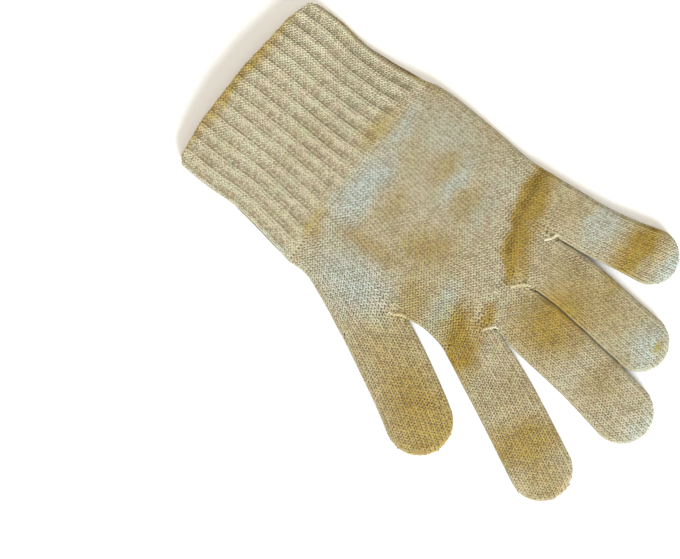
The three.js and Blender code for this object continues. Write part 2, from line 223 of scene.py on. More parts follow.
class Digit:
    """The plan of a thumb or finger: its middle line, its two sides and its round tip."""

    def __init__(self, name, left_start, right_start, rows):
        self.name = name
        line = curve_through(rows, 0.5)
        self.line, self.halves = line[:, :2], line[:, 2]
        self.run = run_of(self.line)
        self.aheads = unit(np.gradient(self.line, axis=0))
        self.end = self.run[-1]
        self.left_s, self.left_pull = self.started(left_start, -1)
        self.right_s, self.right_pull = self.started(right_start, 1)

    def along(self, s):
        """Centre, way ahead and half width at lengths along the digit."""
        s = np.asarray(s, float)
        inside = np.clip(s, 0, self.end)
        ahead = unit(points_at(inside, self.run, self.aheads))
        centre = points_at(inside, self.run, self.line) + ahead * (s - inside)[..., None]
        return centre, ahead, np.interp(inside, self.run, self.halves)

    def started(self, start, hand):
        """Where a side starts along the digit, and how far its start is off the plain side there."""
        start = np.array(start)
        s = float(self.run[np.argmin(np.linalg.norm(self.line - start, axis=1))])
        for _ in range(4):
            centre, ahead, _ = self.along(s)
            s += float((start - centre) @ ahead)
        centre, ahead, half = self.along(s)
        return s, start - (centre + hand * half * np.array([ahead[1], -ahead[0]]))

    def side(self, s, hand):
        """Points of the left (-1) or right (1) side."""
        s = np.asarray(s, float)
        centre, ahead, half = self.along(s)
        right = np.stack([ahead[..., 1], -ahead[..., 0]], -1)
        start, pull = (self.left_s, self.left_pull) if hand < 0 else (self.right_s, self.right_pull)
        fade = 1 - smooth_step((s - start) / PULL_RUN)
        place = centre + hand * half[..., None] * right + fade[..., None] * pull
        for slit in SLITS:
            place = off_slit(place, centre, np.array(slit))
        return place

    def across(self, xy):
        """How far points in plan lie across the digit, as a share of its half width there."""
        found = np.empty(len(xy))
        for i in range(0, len(xy), BLOCK):
            part = xy[i:i + BLOCK]
            off = part[:, None] - self.line[None, ::4]
            near = np.argmin((off**2).sum(-1), axis=1) * 4
            ahead, rest = self.aheads[near], part - self.line[near]
            found[i:i + BLOCK] = (rest[:, 0] * ahead[:, 1] - rest[:, 1] * ahead[:, 0]) / self.halves[near]
        return found


digits = [Digit(*row) for row in DIGITS]
little, ring, middle, index, thumb = digits
piece_names = ["hand"] + [digit.name for digit in digits]


def outline_of(digit):
    """From the right start round the tip to the left start."""
    right = digit.side(np.arange(digit.right_s, digit.end, OUTLINE_STEP), 1)
    centre, ahead, half = digit.along(digit.end)
    turn = np.linspace(0, math.pi, int(round(math.pi * float(half) / OUTLINE_STEP)) + 1)[:, None]
    across = np.array([ahead[1], -ahead[0]])
    tip = centre + float(half) * (np.cos(turn) * across + np.sin(turn) * ahead)
    left = digit.side(np.arange(digit.left_s, digit.end, OUTLINE_STEP), -1)[::-1]
    return np.vstack([right, tip, left])


def cuff_side(which, hem):
    rows = [(row[which], hem + (WRIST_Y - hem) * row[0]) for row in CUFF_ROWS]
    return curve_through(rows, OUTLINE_STEP)


cuff_left, cuff_right = cuff_side(1, HEM[0][1]), cuff_side(2, HEM[-1][1])
hand_left, hand_right = curve_through(HAND_LEFT, OUTLINE_STEP), curve_through(HAND_RIGHT, OUTLINE_STEP)
index_right = curve_through(INDEX_RIGHT, OUTLINE_STEP)
glove_outline = np.vstack([line[:-1] for line in (
    hand_right, outline_of(thumb), index_right, outline_of(index), outline_of(middle), outline_of(ring),
    outline_of(little))] + [hand_left[::-1]])
whole_outline = np.vstack([cuff_right[:-1], glove_outline, cuff_left[::-1][1:]])


def to_outline(xy):
    """Distance of points in plan to the glove's outline."""
    start, span = whole_outline[:-1], np.diff(whole_outline, axis=0)
    size = (span**2).sum(1)
    found = np.empty(len(xy))
    for i in range(0, len(xy), BLOCK):
        off = xy[i:i + BLOCK, None] - start[None]
        t = np.clip((off * span[None]).sum(-1) / size[None], 0, 1)
        gap = off - t[..., None] * span[None]
        found[i:i + BLOCK] = np.sqrt((gap**2).sum(-1).min(1))
    return found


def to_line(xy, start, end):
    """Distance of points in plan to a straight line."""
    start, span = np.array(start), np.array(end) - np.array(start)
    off = xy - start
    t = np.clip((off @ span) / (span @ span), 0, 1)
    return np.linalg.norm(off - t[:, None] * span, axis=1)


def inside_outline(xy, loop):
    x, y = xy[:, 0], xy[:, 1]
    found = np.zeros(len(xy), bool)
    for (x0, y0), (x1, y1) in zip(loop, np.roll(loop, -1, axis=0)):
        if y0 != y1:
            found ^= ((y0 > y) != (y1 > y)) & (x < (x1 - x0) * (y - y0) / (y1 - y0) + x0)
    return found


def piece_at(xy):
    """Which of piece_names points in plan belong to."""
    found = np.zeros(len(xy), int)
    beyond = xy[:, 1] > np.interp(xy[:, 0], *columns(KNUCKLES))
    share = np.stack([np.abs(digit.across(xy)) for digit in (little, ring, middle, index)], 1)
    found[beyond] = 1 + np.argmin(share, axis=1)[beyond]
    join = unit(np.array(THUMB_SIDE) - np.array(THUMB_CROTCH))
    past = (xy - np.array(THUMB_CROTCH)) @ np.array([-join[1], join[0]]) > 0
    reached = (np.abs(thumb.across(xy)) < THUMB_SHARE) & (xy[:, 0] > THUMB_LEAST_X)
    found[past & reached] = piece_names.index("thumb")
    return found


# The knitted surface

def edge_radius(xy):
    return np.interp(xy[:, 1], *columns(EDGE_RADIUS))


def height_at(xy, under):
    """Height of the knitted surface, on the upper face or underneath."""
    away, r = np.maximum(to_outline(xy), 0.01), edge_radius(xy)
    bend = np.sqrt(np.maximum(1 - (1 - np.minimum(away / r, 1)) ** 2, 0))
    top = r * (1 + bend) + CROWN * (1 - np.exp(-np.maximum(away - r, 0) / CROWN_RUN))
    sink = np.zeros(len(xy))
    for start, end, width, depth in FOLDS:
        sink += depth * np.exp(-((to_line(xy, start, end) / width) ** 2))
    for turn, length, height in WAVES:
        way = math.radians(turn)
        run = xy[:, 0] * math.cos(way) + xy[:, 1] * math.sin(way)
        sink += height * np.sin(run * 2 * math.pi / length + turn)
    high_enough = np.clip((top - 2.0) / 3.0, 0, 1)
    return np.where(under, r * (1 - bend), top - high_enough * bend * sink)


def lifted(xy, under):
    """Places on the knitted surface, and the way out of it."""
    step = 0.12
    slope = np.stack([
        (height_at(xy + shift, under) - height_at(xy - shift, under)) / (2 * step)
        for shift in (np.array([step, 0.0]), np.array([0.0, step]))
    ], 1)
    out = np.column_stack([-slope, np.ones(len(xy))])
    out[under] *= -1
    return np.column_stack([xy, height_at(xy, under)]), unit(out)


def levelled(along, out):
    """Ways along the surface, square to the ways out of it."""
    return unit(along - out * (along * out).sum(-1, keepdims=True))


def over_edge(at, r):
    """How far in from a fold a place lies that is this far round it on the fabric."""
    bend = 0.5 * math.pi * r
    return np.where(at < bend, r * (1 - np.cos(np.minimum(at, bend) / r)), r + at - bend)


def section(left, right, r, shares):
    """Places across a flattened tube from its left fold (0) over the top to its right fold (1)."""
    whole = (right - left) + (math.pi - 2) * r
    at = shares * whole
    return np.where(at < whole / 2, left + over_edge(at, r), right - over_edge(whole - at, r))


def rib_wave(around):
    """1 on the back of each rib and -1 in the grooves between them."""
    return np.cos(2 * math.pi * (around * RIBS + 0.25))


def cuff_places(reach, around):
    """Places on the cuff's ribbed surface, and the way out. around goes once round, over the top first."""
    reach, around = np.broadcast_arrays(reach, around)
    shape = reach.shape + (3,)
    reach, around = reach.ravel(), around.ravel()
    under = around > 0.5
    left = np.interp(reach, np.linspace(0, 1, len(cuff_left)), cuff_left[:, 0])
    right = np.interp(reach, np.linspace(0, 1, len(cuff_right)), cuff_right[:, 0])
    x = section(left, right, CUFF_EDGE, np.where(under, 2 - 2 * around, 2 * around))
    hem = np.interp(x, *columns(HEM))
    y = hem + (WRIST_Y - hem) * reach
    corner = np.clip(1 - np.minimum(x - left, right - x) / CORNER, 0, 1)
    y += 0.5 * CORNER * corner**2 * np.clip(1 - 7 * reach, 0, 1)
    place, out = lifted(np.column_stack([x, y]), under)
    groove = (0.5 - 0.5 * rib_wave(around)) ** 1.1
    hold = smooth_step((1 - reach) * 68 / 12.0)
    place -= out * (groove * RIB_DEPTH * hold)[:, None]
    return place.reshape(shape), out.reshape(shape)


# Fabric walls behind the stitches

def plain_mesh(name, places, faces):
    mesh = bpy.data.meshes.new(name)
    mesh.from_pydata([tuple(place) for place in places * MM], [], [tuple(face) for face in faces])
    mesh.update()
    piece = bpy.data.objects.new(name, mesh)
    bpy.context.scene.collection.objects.link(piece)
    return piece


def made_plain(piece):
    """The piece with its modifiers worked into its mesh."""
    graph = bpy.context.evaluated_depsgraph_get()
    mesh = bpy.data.meshes.new_from_object(piece.evaluated_get(graph))
    piece.modifiers.clear()
    old = piece.data
    piece.data = mesh
    bpy.data.meshes.remove(old)
    mesh.name = piece.name
    return piece


def fabric_wall(name, places, faces):
    piece = plain_mesh(name, places, faces)
    wall = piece.modifiers.new("wall", "SOLIDIFY")
    wall.thickness = WALL * MM
    wall.offset = -1
    wall.use_rim = True
    made_plain(piece)
    # The backing's dark colour is painted shade.
    piece.data.materials.append(wool_backing_painted_shade)
    return piece


def points_on_joins(loop):
    """Plan points along the joins, and the edges that the triangles must keep to."""
    points, edges = [], [(i, (i + 1) % len(loop)) for i in range(len(loop))]
    for start, end in JOINS:
        start, end = np.array(start), np.array(end)
        steps = int(round(np.linalg.norm(end - start) / JOIN_STEP))
        first, last = (int(np.argmin(np.linalg.norm(loop - p, axis=1))) for p in (start, end))
        count = len(loop) + len(points)
        points.extend(start + (end - start) * k / steps for k in range(1, steps))
        chain = [first] + list(range(count, count + steps - 1)) + [last]
        edges.extend(zip(chain, chain[1:]))
    return np.array(points), edges


def inner_points(loop):
    """Plan points inside the outline: rows along it where the fabric turns, and a grid on the flat."""
    ahead = np.gradient(glove_outline, axis=0)
    inward = unit(np.column_stack([-ahead[:, 1], ahead[:, 0]]))
    parts = []
    for turn in TURN_ROWS:
        depth = edge_radius(glove_outline) * (1 - math.cos(math.radians(turn)))
        row = glove_outline + inward * depth[:, None]
        parts.append(row[to_outline(row) > depth - 0.06])
    x, y = np.meshgrid(np.arange(-62, 94, GRID_X), np.arange(WRIST_Y + 2, 140, GRID_Y))
    x[1::2] += GRID_X / 2
    grid = np.column_stack([x.ravel(), y.ravel()])
    grid = grid[inside_outline(grid, loop)]
    parts.append(grid[to_outline(grid) > edge_radius(grid) + 0.9])
    points = np.vstack(parts)
    keep = inside_outline(points, loop) & (points[:, 1] > WRIST_Y + 0.4)
    for start, end in JOINS:
        keep &= to_line(points, start, end) > 0.5
    return points[keep]


def glove_skin():
    """The knitted surface of the hand and digits as triangles, and the piece each one belongs to."""
    wrist_x = np.linspace(WRIST_LEFT, WRIST_RIGHT, WRIST_POINTS + 2)[1:-1]
    loop = np.vstack([glove_outline, np.column_stack([wrist_x, np.full(WRIST_POINTS, WRIST_Y)])])
    on_joins, edges = points_on_joins(loop)
    plan = np.vstack([loop, on_joins, inner_points(loop)])
    found = delaunay_2d_cdt([Vector(p) for p in plan], edges, [list(range(len(loop)))], 1, 1e-5)
    places, faces = np.array([tuple(v) for v in found[0]]), np.array([tuple(f) for f in found[2]])
    rim = to_outline(places) < 1e-3
    top, low = (
        np.column_stack([places, height_at(places, np.full(len(places), under))]) for under in (False, True))
    top[rim, 2] = edge_radius(places[rim])
    low_index = np.arange(len(places))
    low_index[~rim] = len(places) + np.arange((~rim).sum())
    triangles = np.vstack([faces, low_index[faces][:, ::-1]])
    return np.vstack([top, low[~rim]]), triangles, np.tile(piece_at(places[faces].mean(1)), 2)


def ways_out(points, triangles):
    a, b, c = (points[triangles[:, k]] for k in range(3))
    face = np.cross(b - a, c - a)
    out = np.zeros_like(points)
    for k in range(3):
        np.add.at(out, triangles[:, k], face)
    return unit(out)


skin, skin_faces, skin_owner = glove_skin()
skin_out = ways_out(skin, skin_faces)


def glove_wall(owner):
    used, faces = np.unique(skin_faces[skin_owner == owner], return_inverse=True)
    sunk = skin[used] - SKIN_DEPTH * skin_out[used]
    return fabric_wall(piece_names[owner] + "_wall", sunk, faces.reshape(-1, 3))


def cuff_wall():
    reach = np.linspace(0, 1, CUFF_ROWS_OF_WALL)[:, None]
    around = np.linspace(0, 1, RIBS * RIB_POINTS, endpoint=False)[None]
    place, out = cuff_places(reach, around)
    rows, size = place.shape[:2]
    faces = [
        (i * size + k, i * size + (k + 1) % size, (i + 1) * size + (k + 1) % size, (i + 1) * size + k)
        for i in range(rows - 1) for k in range(size)
    ]
    return fabric_wall("cuff_wall", (place - SKIN_DEPTH * out).reshape(-1, 3), faces)


# Places of the stitches

def hand_plan(rows):
    """Plan of the hand's wales at each course: the ones for the fingers, then the ones for the thumb."""
    y = WRIST_Y + COURSE * (rows + 0.5)
    far_left = np.vstack([hand_left, little.side(np.arange(little.left_s + 0.5, little.end, 1.0), -1)])
    far_right = np.vstack([hand_right, thumb.side(np.arange(thumb.right_s + 0.5, thumb.end, 1.0), 1)])
    left, outer, edge = (
        np.interp(y, line[:, 1], line[:, 0])[:, None] for line in (far_left, far_right, index_right))
    parting = np.interp(y, *columns(PARTING))[:, None]
    slack = (0.5 * math.pi - 1) * HAND_EDGE
    count = HAND_WALES + CROTCH_WALES
    wales = np.arange(count) + 0.5
    below = left + over_edge(wales / HAND_WALES * (parting - left + slack), HAND_EDGE)
    above = section(left, edge, HAND_EDGE, wales / count)
    turn = smooth_step((y - 4.0) / 16.0)[:, None]
    share = (np.arange(THUMB_WALES)[::-1] + 0.5) / THUMB_WALES
    outside = outer - over_edge(share * (outer - parting + slack), HAND_EDGE)
    x = np.concatenate([below * (1 - turn) + above * turn, outside], -1)
    return np.stack([x, np.broadcast_to(y[:, None], x.shape)], -1)


def digit_plan(digit, s):
    """Plan of a digit's upper wales at lengths along it, between its two sides."""
    left, right = digit.side(s, -1), digit.side(s, 1)
    wide = np.linalg.norm(right - left, axis=-1)[:, None]
    at = section(0.0, wide, DIGIT_EDGE, (np.arange(FINGER_WALES) + 0.5) / FINGER_WALES) / wide
    return left[:, None] + (right - left)[:, None] * at[..., None]


def stitch_rows(shown, xy, way, wide, long):
    """The shown ones of a table of stitches: centres in plan, ways along the wale, sizes."""
    size = np.stack(np.broadcast_arrays(wide, long, xy[..., 0])[:2], -1)
    return xy[shown], unit(way)[shown], size[shown]


def tip_wales(digit, row):
    """The wales of a digit's last full row, run on over its round tip, each by its own length."""
    centre, ahead, half = digit.along(digit.end)
    across = np.array([ahead[1], -ahead[0]])
    offsets = (row - centre) @ across
    wide = TIP_SPREAD * np.abs(np.diff(offsets)).max()
    first = COURSE - (centre - row.mean(0)) @ ahead
    for offset in offsets:
        narrow = offset * TIP_NARROWS
        reach = math.sqrt(max(half**2 - narrow**2, 0))
        beyond = reach * np.sin(np.linspace(0, math.pi / 2, 60))
        drift = offset + (narrow - offset) * beyond / max(reach, 1e-6)
        line = centre + across * drift[:, None] + ahead * beyond[:, None]
        run = run_of(np.column_stack([line, height_at(line, np.zeros(len(line), bool))]))
        xy = points_at(np.arange(first, run[-1] - 0.3, COURSE), run, line)
        yield stitch_rows(np.ones(len(xy), bool), xy, np.broadcast_to(ahead, xy.shape), wide, COURSE)


def digit_stitches(digit, s, forked):
    """A digit's stitches from its first full row to its tip. Wales beside a fork start where it does."""
    s = s[s <= digit.end + 0.01]
    rows = digit_plan(digit, s)
    shown = np.ones(rows.shape[:2], bool)
    for fork, start, wales in zip(forked, (digit.left_s, digit.right_s), (slice(0, 2), slice(-2, None))):
        if fork:
            shown[:, wales] = (s >= start - 0.6)[:, None]
    over = np.linalg.norm(digit.side(s, 1) - digit.side(s, -1), axis=-1) + DIGIT_EDGE * (math.pi - 2)
    yield stitch_rows(shown, rows, np.gradient(rows, axis=0), (over / FINGER_WALES)[:, None], COURSE)
    yield from tip_wales(digit, rows[-1])


def glove_stitches():
    """Plan of every stitch of the hand and digits, the same above and below."""
    rows = np.arange(HAND_ROWS)
    hand = hand_plan(rows)
    blended = hand.copy()
    taken = np.zeros(hand.shape[:2], bool)
    taken[:, HAND_WALES:HAND_WALES + CROTCH_WALES] = hand[:, :1, 1] < THUMB_CROTCH[1] - 0.4
    parts = []
    for digit in digits:
        first, own, count, bend = TAKEN[digit.name]
        forked = (digit is not little, digit not in (index, thumb))
        full = min(s for s, fork in zip((digit.left_s, digit.right_s), forked) if fork)
        row_full = (digit.along(full)[0][1] - WRIST_Y) / COURSE - 0.5
        s = full + (rows - row_full) * COURSE
        plan = digit_plan(digit, np.clip(s, -25, digit.end))
        weight = smooth_step((s - (full - bend)) / bend)[:, None, None]
        reach = slice(first, first + count)
        blended[:, reach] = hand[:, reach] * (1 - weight) + plan[:, own:own + count] * weight
        last = int(np.ceil(row_full))
        taken[last + 1:, reach] = True
        own_rows = np.arange(last + 1, last + LONGEST_DIGIT)
        parts.extend(digit_stitches(digit, full + (own_rows - row_full) * COURSE, forked))
    way = np.gradient(blended, axis=0)
    wide = np.linalg.norm(np.gradient(blended, axis=1), axis=-1)
    shown = ~taken & (rows <= LAST_HAND_ROW)[:, None]
    parts.append(stitch_rows(shown, blended, way, wide, np.linalg.norm(way, axis=-1)))
    return [np.concatenate(part) for part in zip(*parts)]


def search_tree(points):
    tree = KDTree(len(points))
    for i, p in enumerate(points):
        tree.insert(p, i)
    tree.balance()
    return tree


def uncrowded(place, nearest):
    """False for each stitch that crowds an earlier one."""
    tree = search_tree(place)
    keep = np.ones(len(place), bool)
    for i, p in enumerate(place):
        if keep[i]:
            for _, j, _ in tree.find_range(p, nearest):
                if j > i:
                    keep[j] = False
    return keep


def fillers(place, along, spots, outs, gap):
    """Extra stitches wherever the surface is left bare: places, ways out and ways along."""
    tree = search_tree(place)
    bare = [k for k, p in enumerate(spots) if tree.find(p)[2] > gap]
    chosen = []
    for k in sorted(bare, key=lambda k: tree.find(spots[k])[2]):
        if all(np.linalg.norm(spots[k] - spots[c]) > gap for c in chosen):
            chosen.append(k)
    ways = [along[[j for _, j, _ in tree.find_n(spots[k], 4)]].mean(0) for k in chosen]
    return spots[chosen], outs[chosen], np.array(ways).reshape(-1, 3)


def surface_stitches():
    """Places, ways out, ways along and sizes of the stitches of the hand and digits."""
    xy, way, size = glove_stitches()
    keep = inside_outline(xy, glove_outline) & (xy[:, 1] > WRIST_Y)
    xy, way, size = (np.vstack([table[keep]] * 2) for table in (xy, way, size))
    place, out = lifted(xy, np.repeat([False, True], keep.sum()))
    along = levelled(np.column_stack([way, np.zeros(len(way))]), out)
    keep = uncrowded(place, CROWDED)
    place, out, along, size = place[keep], out[keep], along[keep], size[keep]
    spots = np.vstack([skin, skin[skin_faces].mean(1)])
    outs = np.vstack([skin_out, skin_out[skin_faces].mean(1)])
    clear = spots[:, 1] > WRIST_Y + 0.6
    more, more_out, more_along = fillers(place, along, spots[clear], outs[clear], BARE)
    place, out = np.vstack([place, more]), np.vstack([out, more_out])
    along = levelled(np.vstack([along, more_along]), out)
    size = np.vstack([size, np.tile([WALE * 0.95, COURSE], (len(more), 1))])
    return place, out, along, np.clip(size, SMALLEST_STITCH, LARGEST_STITCH)


# Node helpers

def new_group(name, kind, inputs, outputs):
    """A node group, its inputs and its outputs. Rows hold each socket's name, type and first value."""
    group = bpy.data.node_groups.new(name, kind)
    for label, socket_kind, value in inputs:
        socket = group.interface.new_socket(label, in_out="INPUT", socket_type="NodeSocket" + socket_kind)
        if value is not None:
            socket.default_value = value
    for label, socket_kind in outputs:
        group.interface.new_socket(label, in_out="OUTPUT", socket_type="NodeSocket" + socket_kind)
    return group, group.nodes.new("NodeGroupInput").outputs, group.nodes.new("NodeGroupOutput").inputs


def feed(tree, slot, value):
    """Links a socket to another one, or sets its value."""
    if isinstance(value, bpy.types.NodeSocket):
        tree.links.new(value, slot)
    else:
        slot.default_value = value


def node(tree, kind, feeds=None, **settings):
    """A new node with its settings, and what feeds each of its inputs."""
    made = tree.nodes.new(kind)
    for key, value in settings.items():
        setattr(made, key, value)
    for key, value in (feeds or {}).items():
        feed(tree, made.inputs[key], value)
    return made


def maths(tree, operation, *values):
    return node(tree, "ShaderNodeMath", dict(enumerate(values)), operation=operation).outputs[0]


def weighted_sum(tree, terms):
    """The sum of values, each times its weight."""
    so_far = 0.0
    for value, weight in terms:
        so_far = maths(tree, "MULTIPLY_ADD", value, weight, so_far)
    return so_far


def kept_attribute(tree, geometry, name, kind, value):
    return node(tree, "GeometryNodeStoreNamedAttribute", {"Geometry": geometry, "Name": name, "Value": value},
                data_type=kind, domain="POINT").outputs["Geometry"]


def named(tree, name, kind):
    return node(tree, "GeometryNodeInputNamedAttribute", {"Name": name}, data_type=kind).outputs["Attribute"]


# The stitch

def grain_of_yarn(tree, bow, long, wide, thick):
    """A grain of yarn that bows outwards and is tucked in at both ends. leg_place keeps where each point
    was on the plain ball."""
    ball = node(tree, "GeometryNodeMeshUVSphere", {"Segments": 4, "Rings": 3, "Radius": 1.0}).outputs["Mesh"]
    place = node(tree, "GeometryNodeInputPosition").outputs[0]
    part = node(tree, "ShaderNodeSeparateXYZ", {0: place}).outputs
    tucked = maths(tree, "SUBTRACT", 1.0, maths(tree, "MULTIPLY", part["Z"], part["Z"]))
    bent = node(tree, "ShaderNodeCombineXYZ", {
        "X": maths(tree, "MULTIPLY", part["X"], wide), "Y": maths(tree, "MULTIPLY", part["Z"], long),
        "Z": maths(tree, "MULTIPLY_ADD", part["Y"], thick, maths(tree, "MULTIPLY", tucked, bow))}).outputs[0]
    kept = kept_attribute(tree, ball, "leg_place", "FLOAT_VECTOR", place)
    return node(tree, "GeometryNodeSetPosition", {"Geometry": kept, "Position": bent}).outputs["Geometry"]


def stitch_tree():
    """Sets a stitch, or a purl bump, at every point of the mesh it is given."""
    tree, given, result = new_group("knitted stitches", "GeometryNodeTree", [
        ("Geometry", "Geometry", None),
        ("Leg lean", "Float", 0.20), ("Leg length", "Float", 0.98), ("Leg width", "Float", 0.25),
        ("Leg thickness", "Float", 0.25), ("Bow", "Float", 0.10), ("Unevenness", "Float", 0.07),
        ("Seed", "Int", 5), ("Yarn", "Material", None),
    ], [("Geometry", "Geometry")])

    def leg(side):
        grain = grain_of_yarn(
            tree, given["Bow"], given["Leg length"], given["Leg width"], given["Leg thickness"])
        lean = node(tree, "ShaderNodeCombineXYZ", {"Z": maths(tree, "MULTIPLY", given["Leg lean"], -side)})
        turned = node(tree, "GeometryNodeTransform", {
            "Geometry": grain, "Rotation": lean.outputs[0], "Translation": (LEG_APART * side, 0, 0)})
        return kept_attribute(tree, turned.outputs["Geometry"], "leg_side", "FLOAT", side)

    knit = node(tree, "GeometryNodeJoinGeometry")
    for side in (-1, 1):
        feed(tree, knit.inputs[0], leg(side))
    purl = node(tree, "GeometryNodeTransform", {
        "Geometry": grain_of_yarn(tree, 0.08, 0.62, 0.46, 0.24), "Rotation": (0, 0, math.pi / 2)})
    kinds = node(tree, "GeometryNodeGeometryToInstance")
    for shape in (purl, knit):
        feed(tree, kinds.inputs[0], shape.outputs["Geometry"])
    axes = node(tree, "FunctionNodeAxesToRotation", {
        "Primary Axis": named(tree, "way_out", "FLOAT_VECTOR"),
        "Secondary Axis": named(tree, "way_along", "FLOAT_VECTOR")}, primary_axis="Z", secondary_axis="Y")
    uneven = node(tree, "FunctionNodeRandomValue", {
        0: maths(tree, "MULTIPLY", given["Unevenness"], -1.0), 1: given["Unevenness"], "Seed": given["Seed"],
    }, data_type="FLOAT_VECTOR")
    turn = node(tree, "FunctionNodeEulerToRotation", {0: uneven.outputs[0]})
    rotated = node(tree, "FunctionNodeRotateRotation", {
        "Rotation": axes.outputs[0], "Rotate By": turn.outputs[0]}, rotation_space="LOCAL")
    spread = node(tree, "GeometryNodeInstanceOnPoints", {
        "Points": given["Geometry"], "Instance": kinds.outputs[0], "Pick Instance": True,
        "Instance Index": named(tree, "kind", "INT"), "Rotation": rotated.outputs[0],
        "Scale": named(tree, "stitch_size", "FLOAT_VECTOR")})
    whole = node(tree, "GeometryNodeRealizeInstances", {0: spread.outputs["Instances"]})
    smooth = node(tree, "GeometryNodeSetShadeSmooth", {"Geometry": whole.outputs[0]})
    dressed = node(tree, "GeometryNodeSetMaterial", {"Geometry": smooth.outputs[0], "Material": given["Yarn"]})
    feed(tree, result[0], dressed.outputs[0])
    return tree


stitches_tree = stitch_tree()
rng = np.random.default_rng(11)


def knitted(name, place, out, along, size, yarn, kind=0, proud=0.0, deeper=0.0, shape=None):
    """A piece of knitting with one stitch on each place. kind is 1 for a purl bump. deeper moves a stitch's
    shade to the darker ply, or to the paler one if negative; the cuff uses it to paint shade into its grooves
    and light onto its ribs. shape holds values for the tree's own inputs."""
    place, out, along, size = (table.reshape(-1, table.shape[-1]) for table in (place, out, along, size))
    proud = proud - PRESSED * np.clip(-out[:, 2:], 0, 1) ** 2
    piece = plain_mesh(name, place + out * proud, [])
    shade = rng.random(len(place)) + np.ravel(deeper)
    size = np.column_stack([size, np.full(len(place), WALE)]) * MM
    layers = {
        "way_out": ("FLOAT_VECTOR", "vector", out), "way_along": ("FLOAT_VECTOR", "vector", along),
        "stitch_size": ("FLOAT_VECTOR", "vector", size), "stitch_shade": ("FLOAT", "value", shade),
        "kind": ("INT", "value", np.zeros(len(place)) + np.ravel(kind)),
    }
    for key, (data_type, field, values) in layers.items():
        layer = piece.data.attributes.new(key, data_type, "POINT")
        values = np.ascontiguousarray(values, np.int32 if data_type == "INT" else np.float32)
        layer.data.foreach_set(field, values.ravel())
    stitching = piece.modifiers.new("stitches", "NODES")
    stitching.node_group = stitches_tree
    items = stitches_tree.interface.items_tree
    sockets = {item.name: item.identifier for item in items if item.in_out == "INPUT"}
    for label, value in {"Yarn": yarn, **(shape or {})}.items():
        stitching[sockets[label]] = value
    made_plain(piece)
    for spare in ("way_out", "way_along", "stitch_size", "kind"):
        if spare in piece.data.attributes:
            piece.data.attributes.remove(piece.data.attributes[spare])
    return piece


# Yarn and fabric finishes

def mixed(tree, share, a, b, blend="MIX"):
    made = node(tree, "ShaderNodeMix", {"Factor": share, 6: a, 7: b}, data_type="RGBA", blend_type=blend)
    return made.outputs[2]


def noise(tree, place, scale, detail=2.0, rough=0.5):
    return node(tree, "ShaderNodeTexNoise", {
        "Scale": scale, "Detail": detail, "Roughness": rough, "Vector": place}).outputs["Fac"]


def ramp(tree, value, low, high, top=1.0):
    return node(tree, "ShaderNodeMapRange", {
        "From Min": low, "From Max": high, "To Max": top, "Value": value,
    }, interpolation_type="SMOOTHSTEP").outputs["Result"]


# Patches of painted shade (gold) and painted light (pale) where the fabric turns from or to the light: x, y,
# half length, half width, turn in degrees, and how gold (+) or pale (-)
PAINTED_SHADE_AND_LIGHT = [
    (10.0, -30.5, 21.0, 8.0, 0, -1.05),
    (-24.0, -34.0, 12.0, 5.0, 0, -0.7),
    (-32.0, -14.0, 12.0, 16.0, 0, -0.4),
    (-17.0, 0.0, 12.0, 4.0, 0, -0.7),
    (45.0, -10.0, 20.0, 13.0, 88, -0.95),
    (29.0, 30.5, 13.0, 4.2, 17, -1.0),
    (42.5, 78.0, 16.0, 12.0, 60, 0.3),
    (12.0, 92.0, 9.0, 8.0, 90, -0.15),
    (17.0, 132.0, 13.0, 6.0, 0, -0.6),
    (-12.0, 113.0, 15.0, 10.0, 0, -0.9),
    (-43.5, 63.0, 12.0, 8.0, 0, -0.75),
    (-47.5, 99.0, 13.0, 5.0, 0, -0.9),
    (-20.0, 17.0, 20.0, 7.0, 10, -0.3),
    (-41.0, 30.5, 13.0, 7.0, 10, 0.85),
    (-25.0, 34.6, 14.0, 7.5, 22, 0.9),
    (-9.0, 42.5, 12.0, 7.0, 35, 0.9),
    (-36.0, 28.0, 12.0, 4.0, 20, 0.4),
    (-20.0, 32.0, 10.0, 4.0, 18, 0.5),
    (-5.0, 39.5, 10.0, 3.2, 42, 0.6),
    (27.5, -14.0, 17.0, 4.5, 95, 0.45),
    (13.0, 8.0, 14.0, 9.5, 125, 0.65),
    (33.0, 16.0, 12.0, 7.5, 20, 0.6),
    (-14.7, 10.0, 10.0, 6.0, 0, 0.45),
    (-22.0, -8.0, 9.0, 6.0, 0, 0.5),
    (7.0, -15.5, 10.0, 6.0, 0, 0.35),
    (-16.5, -41.5, 13.0, 4.5, -8, 0.6),
    (35.0, -38.0, 9.0, 4.0, 10, 0.6),
    (61.0, 27.0, 20.0, 20.0, 65, 0.56),
    (75.0, 57.0, 24.0, 22.0, 65, 0.86),
    (33.2, 42.0, 15.0, 9.5, 50, 1.0),
    (42.5, 51.0, 10.0, 8.0, 50, 0.8),
    (54.0, 95.5, 22.0, 10.5, -28, 0.86),
    (62.0, 112.0, 12.0, 12.0, 0, 0.55),
    (7.5, 72.0, 17.0, 16.0, 88, 0.95),
    (11.0, 106.0, 10.0, 14.0, 88, 0.4),
    (-14.0, 78.0, 24.0, 13.0, 90, 0.6),
    (-37.0, 46.0, 10.0, 10.0, 90, 0.3),
    (-45.0, 83.0, 20.0, 7.5, 0, 1.1),
    (19.9, 48.3, 6.5, 3.4, -5, 0.95),
    (-15.9, 117.1, 3.2, 2.6, 0, 0.85),
    (0.0, -105.5, 56.0, 4.0, 0, 0.85),
    (-46.0, -66.0, 36.0, 3.0, 90, 0.7),
    (53.5, -66.0, 34.0, 3.0, 88, -0.45),
]
STRAY = 10.0  # how far a noise can move the edges of a patch of painted shade and light
PATCH_HEIGHT, PATCH_DEPTH = 6.0, 50.0
PATCH_FROM, PATCH_FULL = 1.5, 0.2  # as shares of a patch's half sizes
